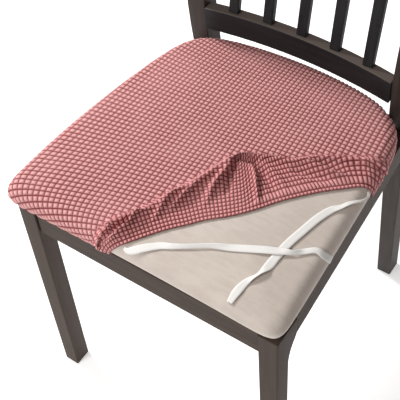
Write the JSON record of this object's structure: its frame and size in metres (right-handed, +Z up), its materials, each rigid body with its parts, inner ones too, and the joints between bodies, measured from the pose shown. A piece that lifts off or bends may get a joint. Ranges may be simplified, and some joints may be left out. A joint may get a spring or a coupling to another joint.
{
  "type": "seat cushion cover on a dining chair",
  "caption": "Stretch waffle-weave seat cushion cover with tape ties, one corner peeled back from the padded seat of a slat-back wooden dining chair.",
  "frame": {"origin": "on the floor under the middle of the whole chair's bounding box", "axes": "+Z up, the front of the chair toward -Y, the sitter's left hand toward +X"},
  "size_m": [0.4534, 0.5152, 0.93],
  "materials": {
    "cover": "stretch knit of small raised cushions in dusty rose, matt",
    "tape": "flat white woven tape, matt",
    "pad": "beige brushed suede-like upholstery cloth, matt",
    "frame": "dark brown satin lacquer"
  },
  "bodies": {
    "root": {"seat_cover": "cover", "tie_front": "tape", "tie_side": "tape", "seat_pad": "pad", "leg_front_left": "frame", "leg_front_right": "frame", "post_back_left": "frame", "post_back_right": "frame", "apron_front": "frame", "apron_back": "frame", "apron_left": "frame", "apron_right": "frame", "rail_lower": "frame", "rail_crest": "frame", "slat_1": "frame", "slat_2": "frame", "slat_3": "frame", "slat_4": "frame", "slat_5": "frame"}
  },
  "joints": []
}
